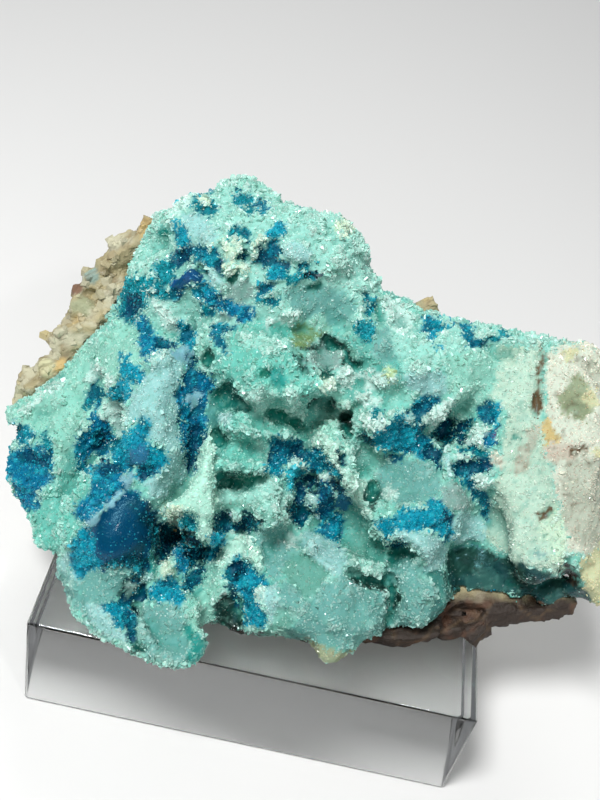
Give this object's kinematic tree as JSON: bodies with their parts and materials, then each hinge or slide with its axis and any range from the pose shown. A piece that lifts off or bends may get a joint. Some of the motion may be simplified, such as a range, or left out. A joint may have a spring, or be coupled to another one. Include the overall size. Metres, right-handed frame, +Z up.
{
  "type": "hemimorphite mineral specimen",
  "caption": "Aqua and blue hemimorphite crust on tan matrix rock, resting on a clear block.",
  "frame": {"origin": "middle of the clear block's underside", "axes": "+Z up out of the block's top, +X along the stone's long side, -Y towards the front that the crust faces"},
  "size_m": [0.0853, 0.0594, 0.06],
  "materials": {
    "hemimorphite": "sparkling druse, pale aqua and mint with glossy deep blue patches",
    "matrix": "rough broken rock, tan with white and rusty crystals",
    "clear_block": "polished clear acrylic"
  },
  "bodies": {
    "root": {"hemimorphite_crust": "hemimorphite", "matrix_rock": "matrix", "clear_block_stand": "clear_block"}
  },
  "joints": []
}
